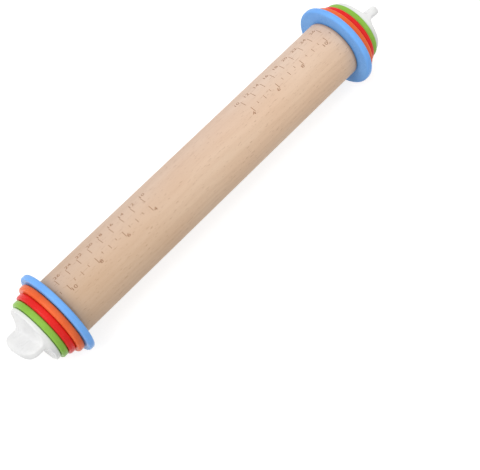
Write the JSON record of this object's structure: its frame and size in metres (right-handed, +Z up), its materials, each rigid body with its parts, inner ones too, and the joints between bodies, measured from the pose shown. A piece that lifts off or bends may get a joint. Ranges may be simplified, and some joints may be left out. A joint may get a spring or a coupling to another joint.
{
  "type": "adjustable rolling pin",
  "caption": "Wooden rolling pin with a stack of coloured screw-clamped discs at each end that sets how thick the dough is rolled.",
  "frame": {"origin": "centre of the barrel, on its axis, which is the centre of the whole pin", "axes": "+X along the barrel towards the right end, +Z up from the worktop, +Y away from a cook who stands in front"},
  "size_m": [0.3572, 0.0654, 0.0654],
  "materials": {
    "beech": "oiled beech, sanded smooth",
    "brass": "turned brass, satin",
    "steel": "turned stainless steel, satin",
    "white_plastic": "moulded plastic, satin gloss",
    "blue_plastic": "moulded plastic, satin gloss",
    "orange_plastic": "moulded plastic, satin gloss",
    "red_plastic": "moulded plastic, satin gloss",
    "green_plastic": "moulded plastic, satin gloss"
  },
  "bodies": {
    "barrel": {"barrel": "beech", "left_socket": "brass", "right_socket": "brass"},
    "left_blue_disc": {"left_blue_disc": "blue_plastic"},
    "left_orange_disc": {"left_orange_disc": "orange_plastic"},
    "left_red_disc": {"left_red_disc": "red_plastic"},
    "left_green_disc": {"left_green_disc": "green_plastic"},
    "left_knob": {"left_knob": "white_plastic", "left_spindle": "steel"},
    "right_blue_disc": {"right_blue_disc": "blue_plastic"},
    "right_orange_disc": {"right_orange_disc": "orange_plastic"},
    "right_red_disc": {"right_red_disc": "red_plastic"},
    "right_green_disc": {"right_green_disc": "green_plastic"},
    "right_knob": {"right_knob": "white_plastic", "right_spindle": "steel"}
  },
  "joints": [
    {"name": "left_blue_disc_slide", "type": "slide", "parent": "barrel", "child": "left_blue_disc", "axis": [-1, 0, 0], "range_m": [0, 0.006]},
    {"name": "left_orange_disc_slide", "type": "slide", "parent": "barrel", "child": "left_orange_disc", "axis": [-1, 0, 0], "range_m": [0, 0.012]},
    {"name": "left_red_disc_slide", "type": "slide", "parent": "barrel", "child": "left_red_disc", "axis": [-1, 0, 0], "range_m": [0, 0.018]},
    {"name": "left_green_disc_slide", "type": "slide", "parent": "barrel", "child": "left_green_disc", "axis": [-1, 0, 0], "range_m": [0, 0.024]},
    {"name": "left_knob_turn", "type": "hinge", "parent": "left_green_disc", "child": "left_knob", "pos_m": [-0.1375, 0, 0], "axis": [-1, 0, 0], "range_deg": [0, 2160]},
    {"name": "right_blue_disc_slide", "type": "slide", "parent": "barrel", "child": "right_blue_disc", "axis": [1, 0, 0], "range_m": [0, 0.006]},
    {"name": "right_orange_disc_slide", "type": "slide", "parent": "barrel", "child": "right_orange_disc", "axis": [1, 0, 0], "range_m": [0, 0.012]},
    {"name": "right_red_disc_slide", "type": "slide", "parent": "barrel", "child": "right_red_disc", "axis": [1, 0, 0], "range_m": [0, 0.018]},
    {"name": "right_green_disc_slide", "type": "slide", "parent": "barrel", "child": "right_green_disc", "axis": [1, 0, 0], "range_m": [0, 0.024]},
    {"name": "right_knob_turn", "type": "hinge", "parent": "right_green_disc", "child": "right_knob", "pos_m": [0.1375, 0, 0], "axis": [1, 0, 0], "range_deg": [0, 2160]}
  ],
  "couplings": [
    {"joint": "left_blue_disc_slide", "follows": "left_knob_turn", "m_per_rad": 0.00015915},
    {"joint": "left_orange_disc_slide", "follows": "left_knob_turn", "m_per_rad": 0.0003183},
    {"joint": "left_red_disc_slide", "follows": "left_knob_turn", "m_per_rad": 0.00047745},
    {"joint": "left_green_disc_slide", "follows": "left_knob_turn", "m_per_rad": 0.0006366},
    {"joint": "right_blue_disc_slide", "follows": "right_knob_turn", "m_per_rad": 0.00015915},
    {"joint": "right_orange_disc_slide", "follows": "right_knob_turn", "m_per_rad": 0.0003183},
    {"joint": "right_red_disc_slide", "follows": "right_knob_turn", "m_per_rad": 0.00047745},
    {"joint": "right_green_disc_slide", "follows": "right_knob_turn", "m_per_rad": 0.0006366}
  ]
}
